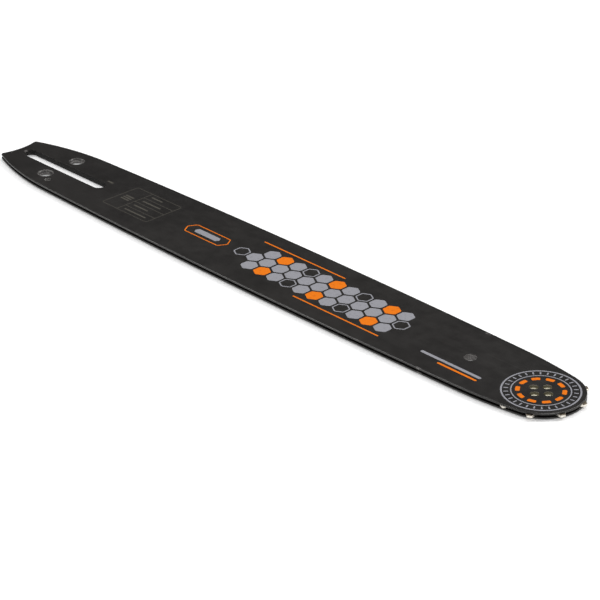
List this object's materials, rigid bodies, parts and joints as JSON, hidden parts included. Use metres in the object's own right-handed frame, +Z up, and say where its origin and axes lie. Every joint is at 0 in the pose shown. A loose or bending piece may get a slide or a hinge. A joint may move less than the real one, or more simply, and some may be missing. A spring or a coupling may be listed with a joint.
{
  "type": "chainsaw guide bar",
  "caption": "Slim laminated chainsaw guide bar: two black side plates over a set-back core, a stud slot and tensioner holes at the tail, and a toothed roller sprocket in the nose.",
  "frame": {"origin": "middle of the stud slot, on the surface that the bar lies on", "axes": "+X along the bar towards its nose, +Y across it, +Z up out of the printed face"},
  "size_m": [0.43, 0.0546, 0.0042],
  "materials": {
    "black_paint": "satin black paint",
    "core_steel": "matt black, oiled",
    "sprocket_steel": "bare hardened steel, lightly oiled",
    "race_steel": "ground steel",
    "rivet_steel": "bright steel with a warm tint",
    "roller_steel": "ground steel",
    "grey_ink": "grey screen ink of the prints on the upper plate",
    "orange_ink": "orange screen ink of the prints on the upper plate",
    "etched_line": "dull etched line of the table near the slot"
  },
  "bodies": {
    "bar": {"side_plate_top": "black_paint", "core_plate": "core_steel", "side_plate_bottom": "black_paint", "inner_race": "race_steel", "nose_rivets": "rivet_steel"},
    "sprocket": {"nose_sprocket": "sprocket_steel"},
    "rollers": {"roller_01": "roller_steel", "roller_02": "roller_steel", "roller_03": "roller_steel", "roller_04": "roller_steel", "roller_05": "roller_steel", "roller_06": "roller_steel", "roller_07": "roller_steel", "roller_08": "roller_steel", "roller_09": "roller_steel", "roller_10": "roller_steel", "roller_11": "roller_steel", "roller_12": "roller_steel", "roller_13": "roller_steel", "roller_14": "roller_steel", "roller_15": "roller_steel", "roller_16": "roller_steel", "roller_17": "roller_steel", "roller_18": "roller_steel", "roller_19": "roller_steel", "roller_20": "roller_steel", "roller_21": "roller_steel"}
  },
  "joints": [
    {"name": "sprocket_spin", "type": "hinge", "parent": "bar", "child": "sprocket", "pos_m": [0.36425, 0, 0.0021], "axis": [0, 0, 1], "continuous": true},
    {"name": "roller_orbit", "type": "hinge", "parent": "bar", "child": "rollers", "pos_m": [0.36425, 0, 0.0021], "axis": [0, 0, 1], "continuous": true}
  ],
  "couplings": [
    {"joint": "roller_orbit", "follows": "sprocket_spin", "ratio": 0.5773}
  ]
}
